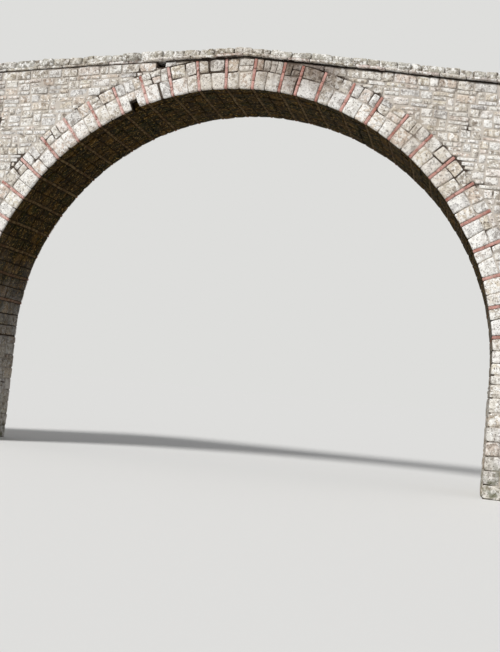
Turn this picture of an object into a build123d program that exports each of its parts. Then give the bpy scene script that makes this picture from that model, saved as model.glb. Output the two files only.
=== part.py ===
"""Single-span stone arch bridge over a small river, in millimetres.

X runs along the road, Y across it with the front face at -Y, and Z up. The
origin is on the ground line, under the middle of the bridge. A barrel vault of
two stone rings, tied by thin brick courses that run through the whole vault,
springs from two abutments. Spandrel walls and a rubble fill stand on it and
carry a projecting string course, a row of coping stones and the road surface.
"""
from build123d import *
from math import asin, atan, cos, degrees, radians, sin
import os

os.makedirs("parts", exist_ok=True)

# Arch
arch_radius = 6000
springing_height = 2600
barrel_width = 2300
inner_ring_depth = 380
outer_ring_depth = 300
brick_thickness = 65

# Brick courses, in degrees from the crown, positive to the right. The bays are
# even but for the two narrow ones right of the crown.
bay_angle = 6.0
first_course_left = 3.7
first_course_right = 2.2
narrow_bay_angles = (3.6, 4.7)
last_course_angle = 83.0

# Road and walls
abutment_length = 3500
crown_bed_depth = 55
road_slope = 0.085
spandrel_thickness = 400
end_wall_thickness = 400

# String course, coping and road surface
string_height = 60
string_projection = 90
coping_height = 160
coping_setback = 35
coping_rounding = 55
deck_depth = 150

# Damage: a voussoir broken off the front edge, and a stone lost under the string
broken_stone_angle = -24.6
broken_stone_width = 180
broken_stone_height = 190
broken_stone_depth = 240
lost_stone_x = -1975
lost_stone_width = 200
lost_stone_height = 145
lost_stone_depth = 260

mid_radius = arch_radius + inner_ring_depth
outer_radius = mid_radius + outer_ring_depth
half_brick = brick_thickness / 2
half_width = barrel_width / 2
half_length = arch_radius + abutment_length
fill_reach = half_length - end_wall_thickness
crown_level = springing_height + outer_radius + crown_bed_depth
inner_wall_face = half_width - spandrel_thickness


def on_arch(radius, angle, sideways=0.0):
    """Point on a circle about the arch centre, moved sideways off its radius."""
    turn = radians(angle) + asin(sideways / radius)
    return (radius * sin(turn), springing_height + radius * cos(turn))


def prism(outline, front, back):
    """Solid of a closed outline in elevation, from one Y to another."""
    face = Plane.XZ.offset(-back) * make_face(outline)
    return extrude(face, back - front)


def ring_stone(inner, outer, start, end, start_gap, end_gap, front, back):
    """Wedge of a ring between two radii and two bed joints."""
    start_in = on_arch(inner, start, start_gap)
    end_in = on_arch(inner, end, -end_gap)
    start_out = on_arch(outer, start, start_gap)
    end_out = on_arch(outer, end, -end_gap)
    middle = (start + end) / 2
    outline = [
        ThreePointArc(start_in, on_arch(inner, middle), end_in),
        Line(end_in, end_out),
        ThreePointArc(end_out, on_arch(outer, middle), start_out),
        Line(start_out, start_in),
    ]
    return prism(outline, front, back)


def course_angles():
    """Angles of all brick courses, from the left springing to the right one."""
    left = []
    angle = first_course_left
    while angle < last_course_angle:
        left.append(-angle)
        angle += bay_angle
    right = [first_course_right, first_course_right + bay_angle]
    for narrow in narrow_bay_angles:
        right.append(right[-1] + narrow)
    while right[-1] + bay_angle < last_course_angle:
        right.append(right[-1] + bay_angle)
    return left[::-1] + right


def road_level(x):
    """Height of the walls' top, which falls away from the crown both ways."""
    return crown_level - road_slope * abs(x)


def road_band(side, bottom, top, front, back):
    """Sloping band on one side of the crown, between two heights above the walls."""
    end = side * half_length
    outline = Polyline(
        (0, road_level(0) + bottom),
        (end, road_level(end) + bottom),
        (end, road_level(end) + top),
        (0, road_level(0) + top),
        close=True,
    )
    return prism(outline, front, back)


def haunching(side, reach, front, back):
    """Mass over one half of the vault, out to a reach, up to the walls' top."""
    end = side * reach
    foot = side * outer_radius
    crown = on_arch(outer_radius, 0)
    outline = [
        ThreePointArc((foot, springing_height), on_arch(outer_radius, side * 45), crown),
        Line(crown, (0, road_level(0))),
        Line((0, road_level(0)), (end, road_level(end))),
        Line((end, road_level(end)), (end, springing_height)),
        Line((end, springing_height), (foot, springing_height)),
    ]
    return prism(outline, front, back)


def coping(side, front, back):
    """Coping course with its two long top edges rounded."""
    top = string_height + coping_height
    course = road_band(side, string_height, top, front, back)
    sloping_edges = course.edges().sort_by(SortBy.LENGTH)[-4:]
    return fillet(sloping_edges.sort_by(Axis.Z)[-2:], coping_rounding)


def damaged(stone_bay):
    """The vault bay whose front stone is broken off."""
    front_edge = Pos(0, -half_width, arch_radius)
    block = Box(broken_stone_width, 2 * broken_stone_depth, 2 * broken_stone_height)
    return stone_bay - Pos(0, 0, springing_height) * Rot(0, broken_stone_angle, 0) * front_edge * block


def with_lost_stone(wall):
    """The front wall with the pocket of the lost stone under its top."""
    stone = Box(lost_stone_width, 2 * lost_stone_depth, lost_stone_height)
    height = road_level(lost_stone_x) - lost_stone_height / 2
    return wall - Pos(lost_stone_x, -half_width, height) * Rot(0, -degrees(atan(road_slope)), 0) * stone


def save(name, solids):
    """Write one node, which may hold several solids that do not touch."""
    shape = solids[0] if len(solids) == 1 else Compound(children=solids)
    export_step(shape, f"parts/{name}.step")


def build_vault():
    """Stone bays in two rings and the brick courses between them."""
    courses = course_angles()
    beds = [(-90.0, 0.0)] + [(angle, half_brick) for angle in courses] + [(90.0, 0.0)]
    zones = (
        ("left_springing", -90, -62),
        ("left_haunch", -62, -38),
        ("left_shoulder", -38, -12),
        ("crown", -12, 9),
        ("right_shoulder", 9, 36),
        ("right_haunch", 36, 60),
        ("right_springing", 60, 90),
    )
    for zone, low, high in zones:
        inner = []
        outer = []
        bricks = []
        for (start, start_gap), (end, end_gap) in zip(beds, beds[1:]):
            if not low <= (start + end) / 2 < high:
                continue
            bay = (start, end, start_gap, end_gap, -half_width, half_width)
            stone = ring_stone(arch_radius, mid_radius, *bay)
            if start < broken_stone_angle < end:
                stone = damaged(stone)
            inner.append(stone)
            outer.append(ring_stone(mid_radius, outer_radius, *bay))
        for angle in courses:
            if low <= angle < high:
                slab = (arch_radius, outer_radius, angle, angle, -half_brick, -half_brick)
                bricks.append(ring_stone(*slab, -half_width, half_width))
        save(f"inner_ring_{zone}", inner)
        save(f"outer_ring_{zone}", outer)
        save(f"brick_courses_{zone}", bricks)


def build_side(side, name):
    """Everything on one side of the crown apart from the vault."""
    outer_end = side * half_length
    abutment = Polyline(
        (side * arch_radius, 0),
        (outer_end, 0),
        (outer_end, springing_height),
        (side * arch_radius, springing_height),
        close=True,
    )
    save(f"abutment_{name}", [prism(abutment, -half_width, half_width)])
    end_wall = Polyline(
        (side * fill_reach, springing_height),
        (outer_end, springing_height),
        (outer_end, road_level(outer_end)),
        (side * fill_reach, road_level(fill_reach)),
        close=True,
    )
    save(f"end_wall_{name}", [prism(end_wall, -inner_wall_face, inner_wall_face)])
    save(f"fill_{name}", [haunching(side, fill_reach, -inner_wall_face, inner_wall_face)])
    save(f"deck_{name}", [road_band(side, 0, deck_depth, -inner_wall_face, inner_wall_face)])
    string_face = half_width + string_projection
    coping_face = string_face - coping_setback
    for wall, facing in (("front", -1), ("rear", 1)):
        wall_faces = sorted((facing * half_width, facing * inner_wall_face))
        spandrel = haunching(side, half_length, *wall_faces)
        if side < 0 and facing < 0:
            spandrel = with_lost_stone(spandrel)
        save(f"spandrel_{wall}_{name}", [spandrel])
        string = sorted((facing * string_face, facing * inner_wall_face))
        save(f"string_course_{wall}_{name}", [road_band(side, 0, string_height, *string)])
        cap = sorted((facing * coping_face, facing * inner_wall_face))
        save(f"coping_{wall}_{name}", [coping(side, *cap)])


build_vault()
build_side(-1, "left")
build_side(1, "right")
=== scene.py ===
from math import asin, atan2, pi, radians, sin
from typing import NamedTuple

import bpy
import numpy as np
from mathutils import Matrix, Vector


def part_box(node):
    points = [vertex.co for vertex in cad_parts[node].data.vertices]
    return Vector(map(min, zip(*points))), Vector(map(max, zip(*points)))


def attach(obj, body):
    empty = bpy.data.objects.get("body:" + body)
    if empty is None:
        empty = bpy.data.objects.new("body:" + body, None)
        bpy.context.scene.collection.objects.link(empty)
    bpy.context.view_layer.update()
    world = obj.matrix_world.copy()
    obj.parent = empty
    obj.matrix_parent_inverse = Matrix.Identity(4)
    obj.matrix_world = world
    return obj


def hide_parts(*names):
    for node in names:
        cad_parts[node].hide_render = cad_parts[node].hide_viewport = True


bl_info = {
    "name": "Stone Arch Bridge",
    "version": (1, 0, 0),
    "blender": (4, 5, 0),
    "location": "View3D > Sidebar > Bridge",
    "description": "Lays the stones, bricks, coping and road of a masonry arch bridge",
    "category": "Object",
}

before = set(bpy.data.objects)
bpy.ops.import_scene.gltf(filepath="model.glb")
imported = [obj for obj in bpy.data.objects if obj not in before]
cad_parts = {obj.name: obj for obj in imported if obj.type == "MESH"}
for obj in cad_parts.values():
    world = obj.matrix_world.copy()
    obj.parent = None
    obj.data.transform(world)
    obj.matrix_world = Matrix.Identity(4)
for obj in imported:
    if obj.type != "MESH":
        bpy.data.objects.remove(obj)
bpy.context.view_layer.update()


def face_of(node, axis, end):
    """One face of a node's box: axis 0 to 2, end 0 for the lowest and 1 for the highest."""
    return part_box(node)[end][axis]


# Sizes read off the construction
ARCH_RADIUS = face_of("abutment_right", 0, 0)
HALF_LENGTH = face_of("abutment_right", 0, 1)
HALF_WIDTH = face_of("abutment_right", 1, 1)
SPRINGING = face_of("abutment_right", 2, 1)
MID_RADIUS = face_of("inner_ring_right_springing", 0, 1)
OUTER_RADIUS = face_of("outer_ring_right_springing", 0, 1)
CROWN_LEVEL = face_of("spandrel_front_right", 2, 1)
ROAD_SLOPE = (CROWN_LEVEL - face_of("deck_right", 2, 0)) / HALF_LENGTH
STRING_TOP = face_of("string_course_front_right", 2, 1) - CROWN_LEVEL
STRING_FACE = -face_of("string_course_front_right", 1, 0)
COPING_TOP = face_of("coping_front_right", 2, 1) - CROWN_LEVEL
COPING_FACE = -face_of("coping_front_right", 1, 0)
COPING_BACK = -face_of("coping_front_right", 1, 1)
DECK_TOP = face_of("deck_right", 2, 1) - CROWN_LEVEL

# Damage on the front face: the broken voussoir with the stump behind it, and the stone
# lost under the string
BROKEN_ANGLE = radians(-24.6)
BROKEN_HALF_WIDTH = 0.09
BROKEN_HEIGHT = 0.19
BROKEN_DEPTH = 0.24
STUMP_DEPTH = 0.15
STUMP_RELIEF = 0.045
STUMP_RISE = 0.02
LOST_STONE = (1.875, 2.075)
LOST_STONE_HEIGHT = 0.145

# Left of this place the string slabs of the front are worn back, by this much
WORN_STRING = -1.85
WORN_DEPTH = 0.045

# Places along the front coping, and how far its worn top lies under its line there
COPING_PLACES = (-0.7, 0.0, 0.45, 0.75, 1.05, 1.35)
COPING_WEAR = (0.0, 0.04, 0.012, 0.05, 0.05, 0.0)

# What shows clearly of the front face's bond: joints of the long course left of the
# lost stone and, as angles from the crown, joints between voussoirs, joints that are
# washed out, and by the place of a bay its joints in the upper tier as shares of it
SEEN_COURSE_JOINTS = (2.502, 2.925, 3.254)
SEEN_JOINTS = np.radians((-18.25, -12.1, -6.7))
WASHED_JOINTS = np.radians((-18.25, 11.5))
WASHED_GAP = 0.022
SAME_ANGLE = 0.004
SEEN_UPPER_JOINTS = {-6.7: (0.4,), 5: (0.27, 0.52, 0.76), 14: (), 20: (0.62,)}

# The bay whose last stone in the upper tier stands loose, by so much on each side, and
# places on the front face where the mortar is washed out, with their reach
LOOSE_BAY = radians(-6.7)
LOOSE_GAP = 0.024
WASHED_SPOTS = ((-0.64, 9.13, 0.26), (-2.52, 8.86, 0.13), (-2.1, 8.85, 0.1))

# Mortar has stayed over the ring and the springing line, and thins out down the
# abutments. Its skins dip into the wall at their rims, and those of the abutments lap
# over the skin of the walls above.
SOUND_SHARE = 0.24
WORN_LEVEL = 0.8
RIM_DEPTH = 0.014
SKIN_LAP = 0.07

# Lines of the skins' grids: rays and rows over the springing line, lines along and up an
# abutment's face, lines across the bridge, and lines up an end and up a river face
FAN_RAYS = 480
FAN_ROWS = 48
SIDE_LINES = (52, 39)
CROSS_LINES = 34
END_LINES = 120
RIVER_LINES = 38

# Photograph: 500 by 652 pixels, seen from below and a little to the right
PHOTO_HEIGHT = 652
FOCAL_PIXELS = 1000.0
CAMERA_PLACE = (5.58, -22.78, SPRINGING - 0.81)
CAMERA_YAW = radians(-12.7)
CAMERA_PITCH = radians(3.66)
CAMERA_ROLL = radians(5.5)

# Grid that the rubble is packed on: squares along a wall and rows of bed joints up it,
# closer over the springing line. Over it lies the top course.
SQUARE = 0.04
LOWER_BED = 0.1
UPPER_BED = 0.09
BED_WAVE = 0.024
TOP_COURSE = 0.235
LOWER_ROWS = round(SPRINGING / LOWER_BED)
UPPER_ROWS = round((CROWN_LEVEL - ROAD_SLOPE * HALF_LENGTH - TOP_COURSE - SPRINGING) / UPPER_BED)
ALL_ROWS = LOWER_ROWS + UPPER_ROWS

# Corner stones: the rows that each is high, their joints, and the squares that they take
# along their two faces
CORNER_HEIGHT = 3
CORNER_ROWS = np.unique((*range(0, LOWER_ROWS, CORNER_HEIGHT),
                         *range(LOWER_ROWS, ALL_ROWS, CORNER_HEIGHT), ALL_ROWS))
CORNER_SQUARES = (12, 8)

# Squares that rubble stones are long, from the first to below the second, and the rows
# that they are high, each as often as it is listed
SPANDREL_SQUARES = (4, 13)
ABUTMENT_SQUARES = (5, 16)
END_SQUARES = (4, 14)
SPANDREL_HEIGHTS = (1, 1, 1, 2, 2, 2)
HEIGHTS = (1, 2, 2, 2, 2, 3)

# Shortest and longest of the stones and bricks laid in rows
LONG_STONES = (0.2, 0.56)
END_STONES = (0.3, 0.5)
SILL_STONES = (0.3, 0.6)
UPPER_STONES = (0.17, 0.34)
UNDERSIDE_STONES = (0.24, 0.46)
FACE_BRICKS = (0.17, 0.26)
UNDERSIDE_BRICKS = (0.2, 0.27)
STRING_SLABS = (0.36, 0.8)
COPING_STONES = (0.2, 0.5)
ROAD_ROWS = (0.11, 0.2)
ROAD_STONES = (0.1, 0.26)

# Width of a voussoir, length of the corner stones of the top course, and how many
# lengths of mortar lie under a coping
VOUSSOIR_WIDTH = 0.3
CORNER_LENGTH = 0.5
COPING_BEDS = 24

# The long course starts this far from the crown, and its random joints keep this far
# from the first and the last joint of its seen stretch
LONG_START = 1.3
SEEN_MARGINS = (0.12, 0.15)

# How far stones reach into the wall
STONE_BACK = 0.05
BRICK_BACK = 0.12
ROAD_BACK = 0.04
CORNER_BACK = 0.3
VOUSSOIR_BACKS = (0.24, 0.44)

# How far stones stand proud: from one share of the relief to another, and on the road
# in metres. The vault's lowest stones and bricks hang under its line by another share.
RUBBLE_STAND = (0.55, 1.35)
CORNER_STAND = (0.7, 1.2)
LONG_STAND = (0.5, 1.3)
END_STAND = (0.5, 1.2)
SILL_STAND = (0.5, 1.0)
VOUSSOIR_STAND = (0.7, 1.5)
UPPER_STAND = (0.5, 1.4)
UNDERSIDE_STAND = (0.7, 1.3)
BRICK_STAND = (0.7, 1.15)
UNDERSIDE_BRICK_STAND = (0.5, 0.8)
ROAD_STAND = (0.008, 0.04)
STONE_HANG = 0.9
BRICK_HANG = 0.7

# Room that is left: under the string, beside the sill, and over the ring's back for the
# squares of the rubble and for its points
STRING_ROOM = 0.02
SILL_ROOM = 0.012
RING_ROOM = 0.015
RING_SKIN = 0.008

# Most that a rubble stone is drawn in at either end and at either bed
END_SLACK = 0.016
BED_SLACK = 0.012

# How far the ring's joints stray, as shares of a stone, how far its joints lean in
# radians and those of slabs, copings and road stones in metres, and how unevenly slabs
# and copings stand out
VOUSSOIR_STRAY = 0.14
UPPER_STRAY = 0.18
RING_LEAN = 0.0035
SLAB_LEAN = 0.01
ROUGH_LEAN = 0.02
SLAB_SPREAD = 0.012
COPING_SPREAD = 0.014

# How far the rows of road stones wave to either side, and where the light comes from
ROW_WAVE = 0.03
KEY_DIRECTION = (0.42, 0.72, -0.74)

# First number of the random draws of each group of pieces
(SPANDREL_DRAWS, ABUTMENT_DRAWS, VAULT_DRAWS, BRICK_DRAWS, PARAPET_DRAWS,
 ROAD_DRAWS) = range(10, 70, 10)


def road_level(along):
    """Height of the walls' top at a distance along the road."""
    return CROWN_LEVEL - ROAD_SLOPE * np.abs(along)


def bed(row, along):
    """Height of a bed joint: level up to the springing line, then fanned out to the top course.

    Between the ground and the top course the beds wave a little, each in its own way.
    """
    lower = SPRINGING * row / LOWER_ROWS
    rise = road_level(along) - TOP_COURSE - SPRINGING
    upper = SPRINGING + rise * (row - LOWER_ROWS) / UPPER_ROWS
    wave = BED_WAVE * np.sin(1.9 * along + 0.7 * row) * np.sin(pi * row / ALL_ROWS)
    return np.where(row <= LOWER_ROWS, lower, upper) + wave


def polar(along, up):
    """Angle from the crown and radius of a place on a face, about the arch's centre."""
    return np.arctan2(along, up - SPRINGING), np.hypot(along, up - SPRINGING)


def end_bed(row, along):
    """Height of a bed joint in a wall across the bridge, level at its corners' height."""
    return bed(row, HALF_LENGTH + 0 * along)


def brick_courses():
    """Angles of the brick courses from the crown and half a brick, read off the intrados.

    The corners of a course on the intrados lie within half a brick of its angle,
    so sorted angles with wide gaps between them fall into one group a course.
    """
    corners = []
    for name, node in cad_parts.items():
        if not name.startswith("brick_courses"):
            continue
        points = np.empty(3 * len(node.data.vertices))
        node.data.vertices.foreach_get("co", points)
        across, _, height = points.reshape(-1, 3).T
        angle, radius = polar(across, height)
        corners.append(angle[radius < ARCH_RADIUS + 0.002])
    corners = np.sort(np.concatenate(corners))
    groups = np.split(corners, np.flatnonzero(np.diff(corners) > radians(1)) + 1)
    angles = np.array([(group[0] + group[-1]) / 2 for group in groups])
    return angles, ARCH_RADIUS * sin((groups[0][-1] - groups[0][0]) / 2)


COURSES, HALF_BRICK = brick_courses()


# Surfaces that stones are laid on. Each maps along, up and out to X, Y and Z, and
# keeps a right hand, so that a shape with outward faces keeps them.
def on_front(along, up, out):
    """Flat front face: along is X and up is Z."""
    return along, -HALF_WIDTH - out, up


def on_ring_face(angle, radius, out):
    """Front face in polar form: an angle from the crown and a radius."""
    return radius * np.sin(angle), -HALF_WIDTH - out, SPRINGING + radius * np.cos(angle)


def on_soffit(angle, across, out):
    """Underside of the vault: an angle from the crown, minus Y, and a rise towards the centre."""
    radius = ARCH_RADIUS - out
    return radius * np.sin(angle), -across, SPRINGING + radius * np.cos(angle)


def on_end(along, up, out):
    """Wall at the right end: along is Y and up is Z."""
    return HALF_LENGTH + out, along, up


def on_river_face(along, up, out):
    """Face of the left abutment towards the river: along is Y and up is Z."""
    return -ARCH_RADIUS + out, along, up


def on_parapet(along, up, out):
    """Front parapet strip: up is over the walls' top, out is from the coping's back."""
    return along, -COPING_BACK - out, road_level(along) + up


def on_road(along, across, out):
    """Road surface between the copings."""
    return along, across, road_level(along) + DECK_TOP + out


def turned(surface):
    """The same surface turned half a turn about the upright axis."""
    def mapped(along, up, out):
        x, y, z = surface(along, up, out)
        return -x, -y, z
    return mapped


def over_ring(cells):
    """Points of a flat face with those behind the ring pushed out to its back."""
    along, up, out = np.moveaxis(cells, -1, 0)
    radius = polar(along, up)[1]
    push = np.where(up > SPRINGING, np.maximum(OUTER_RADIUS + RING_SKIN, radius) / radius, 1)
    return np.stack((along * push, SPRINGING + (up - SPRINGING) * push, out), -1)


# Bonds: where the joints of the masonry run. A cell is the room of one stone.
def spaced(rng, start, end, low, high):
    """Joints from start to end at random distances between low and high, stretched to fit."""
    count = max(1, round((end - start) / ((low + high) / 2)))
    steps = rng.uniform(low, high, count)
    return start + (end - start) * np.concatenate(([0.0], np.cumsum(steps))) / steps.sum()


def skewed(rng, joints, spread=0.014):
    """Upper ends of upright joints, each leaning a little, with the outer two upright."""
    head = joints + rng.normal(0, spread, len(joints))
    head[[0, -1]] = joints[[0, -1]]
    return head


def pairs(values):
    """Each value with the next one, on a last axis."""
    return np.stack((values[:-1], values[1:]), -1)


def wall_cells(along, up, back, proud):
    """Cells as corners [stone, along, up, out, coordinate] from the places [stone, along, up].

    Every cell reaches back into the wall and stands proud of it by its own amount.
    """
    along, up = np.broadcast_arrays(along, up)
    cells = np.empty((*along.shape, 2, 3))
    cells[..., 0] = along[..., None]
    cells[..., 1] = up[..., None]
    cells[..., 0, 2] = -np.reshape(back, (-1, 1, 1))
    cells[..., 1, 2] = np.reshape(proud, (-1, 1, 1))
    return cells


def course_cells(foot, head, bottom, top, back, proud):
    """Cells of one course.

    Foot and head are the places of the joints at the lower and the upper bed, bottom
    and top the heights of the beds at those places.
    """
    foot, head, bottom, top = np.broadcast_arrays(foot, head, bottom, top)
    along = np.stack((pairs(foot), pairs(head)), -1)
    return wall_cells(along, np.stack((pairs(bottom), pairs(top)), -1), back, proud)


def packed(rng, free, widths, heights):
    """Stones that fill the free squares of a grid: first and last column, first and last row.

    Squares are taken row by row. A stone starts at the first free square. It is as
    wide as a random draw and the free squares beside it allow, and takes the rest of
    a gap that would be too narrow for another. It is as high as a random draw, its
    width and the free squares over it allow.
    """
    free = free.copy()
    rows, columns = free.shape
    stones = []
    for row in range(rows):
        column = 0
        while column < columns:
            if not free[row, column]:
                column += 1
                continue
            taken = np.flatnonzero(~free[row, column:])
            room = int(taken[0]) if len(taken) else columns - column
            width = min(room, int(rng.integers(*widths)))
            if room - width < widths[0]:
                width = room if room <= widths[1] else room // 2
            height = min(int(rng.choice(heights)), rows - row, 1 + width // 3)
            while not free[row:row + height, column:column + width].all():
                height -= 1
            free[row:row + height, column:column + width] = False
            stones.append((column, column + width, row, row + height))
            column += width
    return np.array(stones)


def rubble(rng, span, rows, margins, level, proud, widths, heights=HEIGHTS, blocked=None):
    """Cells of random rubble in a span along a wall, between two bed joints.

    Margins gives, for each group of rows, the squares at either end that the corner
    stones take. Blocked tells which places other masonry takes. Every side of a stone
    is drawn in by a random slack.
    """
    count = round((span[1] - span[0]) / SQUARE)
    edges = np.linspace(*span, count + 1)
    first, last = rows
    group = np.searchsorted(CORNER_ROWS, np.arange(first, last), side="right") - 1
    square = np.arange(count)
    free = (square >= margins[group, :1]) & (square < count - margins[group, 1:])
    if blocked:
        middle = (edges[1:] + edges[:-1]) / 2
        free &= ~blocked(middle, level(np.arange(first, last)[:, None] + 0.5, middle))
    stones = packed(rng, free, widths, heights)
    along = edges[stones[:, :2]][:, :, None]
    up = level(first + stones[:, None, 2:], along)
    stand = proud * rng.uniform(*RUBBLE_STAND, len(stones))
    slack = rng.random((len(stones), 2, 2, 2)) ** 2
    inward = np.array((1, -1))
    along = along + END_SLACK * slack[..., 0] * inward[:, None]
    return wall_cells(along, up + BED_SLACK * slack[..., 1] * inward, STONE_BACK, stand)


def corner_lengths(looks, half):
    """Squares that each corner stone takes along its two faces, long and short by turns.

    They are the same for all four corners of one half of the bridge, 0 left or 1 right.
    """
    count = len(CORNER_ROWS) - 1
    lengths = np.tile((CORNER_SQUARES, CORNER_SQUARES[::-1]), (count // 2 + 1, 1))[:count]
    return lengths + draws(looks, half).integers(-1, 2, lengths.shape)


def corner_stones(rng, lengths, rows, at, inward, proud):
    """Cells of the corner stones up a vertical edge of a face between two bed joints.

    At is where the edge stands along the face and inward the way into the wall.
    """
    chosen = (CORNER_ROWS[:-1] >= rows[0]) & (CORNER_ROWS[1:] <= rows[1])
    beds = pairs(CORNER_ROWS)[chosen]
    long, deep = lengths[chosen].T * SQUARE
    stand = proud * rng.uniform(*CORNER_STAND, len(beds))
    along = np.sort(np.stack((at - inward * stand, at + inward * long), -1), axis=1)[:, :, None]
    return wall_cells(along, bed(beds[:, None], along), deep, stand)


def split_level(cells, rng, chance, tallest):
    """Cells with some of the taller ones cut into two thin stones, one on the other."""
    height = (cells[:, :, 1, 1, 1] - cells[:, :, 0, 1, 1]).mean(1)
    cut = (height > tallest) & (rng.random(len(cells)) < chance)
    share = rng.uniform(0.4, 0.6, len(cells))[:, None, None, None]
    middle = cells[:, :, 0] * (1 - share) + cells[:, :, 1] * share
    lower = np.stack((cells[:, :, 0], middle), 2)
    upper = np.stack((middle, cells[:, :, 1]), 2)
    return np.concatenate((cells[~cut], lower[cut], upper[cut]))


def without(cells, low, high):
    """Cells of a course with those in a span of the wall taken out and its neighbours cut back."""
    middle = cells[..., 0].mean((1, 2, 3))
    kept = cells[(middle < low) | (middle > high)]
    below = kept[..., 0].mean((1, 2, 3), keepdims=True) < low
    kept[..., 0] = np.where(below, np.minimum(kept[..., 0], low), np.maximum(kept[..., 0], high))
    return kept


# Shapes
def cube_shell(along, up, out, plain_back=True):
    """Unit points and quads of a cube's surface, cut at shares of its three edges.

    A plain back, which the wall hides, is closed by a fan of quads, each from its
    middle to two edges of its rim.
    """
    cuts = [np.asarray(shares, float) for shares in (along, up, out)]
    points = []
    quads = []
    used = 0
    for axis in range(3):
        first, second = (axis + 1) % 3, (axis + 2) % 3
        shape = (len(cuts[first]), len(cuts[second]))
        for sign in (-1, 1):
            grid = np.empty((*shape, 3))
            grid[..., axis] = sign
            grid[..., first] = cuts[first][:, None]
            grid[..., second] = cuts[second]
            index = used + np.arange(grid[..., 0].size).reshape(shape)
            corners = [index[:-1, :-1], index[1:, :-1], index[1:, 1:], index[:-1, 1:]]
            if plain_back and (axis, sign) == (2, -1):
                rim = np.concatenate((grid[:-1, 0], grid[-1, :-1], grid[:0:-1, -1], grid[0, :0:-1]))
                grid = np.concatenate((rim, sign * np.eye(3)[[axis]]))
                start = used + np.arange(0, len(rim), 2)
                last = np.append(start[1:], used)
                corners = [0 * start + used + len(rim), start, start + 1, last]
            quads.append(np.stack(corners[::sign], -1).reshape(-1, 4))
            points.append(grid.reshape(-1, 3))
            used += len(points[-1])
    points, welded = np.unique(np.concatenate(points).round(6), axis=0, return_inverse=True)
    return points, welded.ravel()[np.concatenate(quads)]


RICH = (-1, -0.86, -0.45, 0, 0.45, 0.86, 1)
MIDDLING = (-1, -0.82, -0.3, 0.3, 0.82, 1)
SIMPLE = (-1, -0.75, 0, 0.75, 1)
PLAIN = (-1, -0.7, 0.7, 1)
SHALLOW = (-1, 1)
DEEP = (-1, -0.4, 0.3, 0.8, 1)
FINE_FACE = cube_shell(RICH, RICH, SHALLOW)
FACE = cube_shell(MIDDLING, MIDDLING, SHALLOW)
PLAIN_FACE = cube_shell(SIMPLE, SIMPLE, SHALLOW)
FINE_BLOCK = cube_shell(RICH, RICH, DEEP)
BLOCK = cube_shell(MIDDLING, MIDDLING, DEEP)
BRICK = cube_shell(PLAIN, PLAIN, (-1, 0.7, 1))
WHOLE_BLOCK = cube_shell(RICH, (-1, -0.8, -0.2, 0.4, 0.8, 1), (-1, -0.8, 0, 0.5, 0.8, 1), False)
SLAB = cube_shell(RICH, PLAIN, (-1, -0.8, 0.5, 0.9, 1), False)


class Dressing(NamedTuple):
    """How stones are worked: a share of the joints' width, the range of the power that
    rounds their edges, and lengths in metres of their chips, bulge and grain."""
    joint: float
    power: tuple
    chip: float
    bulge: float
    grain: float


RUBBLE = Dressing(1.0, (7, 16), 0.07, 0.009, 0.006)
SQUARED = Dressing(0.8, (9, 20), 0.045, 0.007, 0.006)
HEWN_SLAB = Dressing(0.35, (8, 16), 0.04, 0.0, 0.012)
ROUGH_COPING = Dressing(0.3, (9, 16), 0.06, 0.004, 0.014)
BEDDING = Dressing(0.0, (14, 20), 0.0, 0.0, 0.008)
FIRED = Dressing(0.1, (12, 20), 0.006, 0.0, 0.0025)
TRODDEN = Dressing(0.8, (2.6, 4.5), 0.015, 0.006, 0.004)

# Size and seed of the random fields that move stones and mortar together and that make
# stones rough, and depth, size and seed of those that make mortar lumpy
WANDER = (0.45, 1)
GRAIN = (0.13, 5)
FINE_GRAIN = (0.05, 9)
LUMPS = ((0.5, 0.6, 21), (0.7, 0.17, 22), (0.5, 0.07, 23))

# Planes that chip a stone, how flat every other one is on the wall, how much deeper
# than the chip they cut, and the most that a chip takes of a stone's shorter side
CHIP_PLANES = 8
CHIP_FLATNESS = 0.25
CHIP_REACH = 2.4
CHIP_SHARE = 1 / 3.2


def cloud(points, size, seed):
    """Smooth random field at some places, between -1 and 1, with features of a size in metres.

    Values made from the corners of a grid of that size are joined along each axis by
    the smooth step 3 t^2 - 2 t^3.
    """
    place = points / size
    base = np.floor(place)
    share = place - base
    share = share * share * (3 - 2 * share)
    total = 0.0
    for corner in np.ndindex(2, 2, 2):
        key = np.sin((base + corner) @ (12.9898, 78.233, 37.719) + 17.17 * seed) * 43758.5453
        total = total + np.where(corner, share, 1 - share).prod(-1) * (key - np.floor(key))
    return 2 * total - 1


def rough(points, size, seed, depth):
    """Points moved along each axis by their own random field, up to a depth."""
    return points + depth * np.stack([cloud(points, size, seed + axis) for axis in range(3)], -1)


def chipped(points, half, rng, chip):
    """Points of a stone with its corners and edges knocked off by random planes.

    Each plane would shave the corner of the stone's box that it faces by up to the
    chip's depth, less the more it lies along a face. A point beyond it is moved back
    onto it along its normal. Every other plane stands nearly upright on the wall.
    """
    for turn in range(CHIP_PLANES):
        normal = rng.normal(size=(len(points), 3))
        normal[:, 2] *= (1, CHIP_FLATNESS)[turn % 2]
        normal /= np.linalg.norm(normal, axis=1, keepdims=True)
        slant = 1 - np.abs(normal).max(1)
        reach = (np.abs(normal) * half).sum(1) - chip * CHIP_REACH * slant * rng.random(len(points))
        excess = np.clip(np.einsum("nvk,nk->nv", points, normal) - reach[:, None], 0, None)
        points = points - excess[..., None] * normal[:, None]
    return points


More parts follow.
